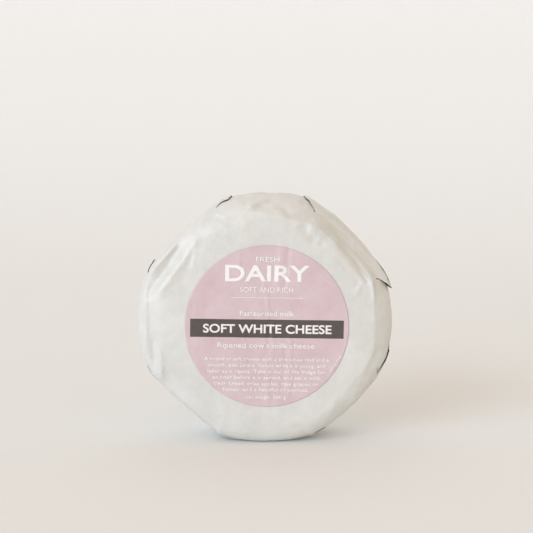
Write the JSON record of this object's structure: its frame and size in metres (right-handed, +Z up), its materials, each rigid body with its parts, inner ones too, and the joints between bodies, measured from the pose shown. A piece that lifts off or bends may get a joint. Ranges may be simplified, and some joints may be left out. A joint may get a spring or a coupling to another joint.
{
  "type": "wrapped soft-ripened cheese wheel",
  "caption": "Small white-rind cheese wheel in a pleated white paper wrapper, with round stick-on labels, standing on its edge",
  "frame": {"origin": "middle of the foot, the flat patch of the rim that the wheel stands on", "axes": "+Z up; the wheel's own axis runs along Y, its labelled front faces -Y and its pleated back faces +Y"},
  "size_m": [0.1156, 0.0363, 0.114],
  "materials": {
    "cheese_rind": "soft white bloomy rind, matt and downy",
    "wrapper_paper": "white waxed paper with a soft gloss, creased and pleated",
    "wrapper_lining": "dark inner face of the wrapping paper, seen where a pleat stands open",
    "label_pink": "pale pink label paper with a light satin coat",
    "label_band": "dark warm brown print",
    "label_print": "white print",
    "label_plain": "off-white label paper",
    "label_ink": "dark brown small print on the back label"
  },
  "bodies": {
    "root": {"cheese": "cheese_rind", "paper_wrapper": "wrapper_paper", "front_label": "label_pink", "back_label": "label_plain"}
  },
  "joints": []
}
